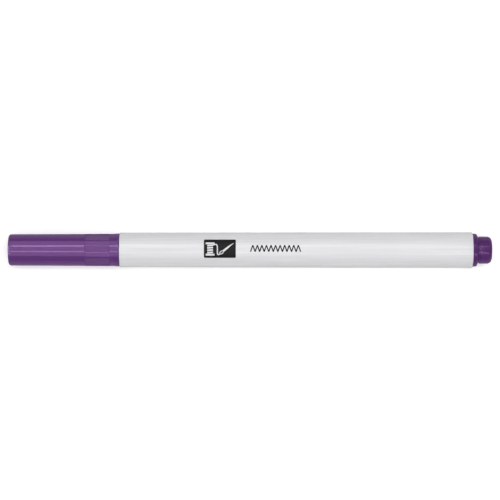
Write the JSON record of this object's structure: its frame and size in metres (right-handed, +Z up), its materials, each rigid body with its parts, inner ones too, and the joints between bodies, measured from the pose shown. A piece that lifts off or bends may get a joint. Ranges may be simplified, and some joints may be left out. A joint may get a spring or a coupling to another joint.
{
  "type": "fabric marking pen",
  "caption": "Slim capped fibre-tip pen for marking fabric: round white barrel, purple pull-off cap with grip flats, purple end plug with a posting spigot.",
  "frame": {"origin": "on the pen's axis, at the middle of its length with the cap on", "axes": "X along the pen, nib and cap towards -X, end plug towards +X; +Z up as the pen lies with its print upward"},
  "size_m": [0.1378, 0.0102, 0.0102],
  "materials": {
    "cap_purple": "satin",
    "plug_purple": "gloss",
    "barrel_white": "satin",
    "section_white": "satin",
    "liner_natural": "satin",
    "nib_fibre": "matte",
    "filler_fibre": "matte",
    "clear_film": "gloss",
    "print_black": "satin",
    "print_white": "satin"
  },
  "bodies": {
    "barrel": {"barrel": "barrel_white", "front_section": "section_white", "nib": "nib_fibre", "ink_reservoir": "filler_fibre", "reservoir_film": "clear_film", "end_plug": "plug_purple"},
    "cap": {"cap_shell": "cap_purple", "cap_inner_seal": "liner_natural"}
  },
  "joints": [
    {"name": "cap_pull", "type": "slide", "parent": "barrel", "child": "cap", "axis": [-1, 0, 0], "range_m": [0, 0.045]}
  ]
}
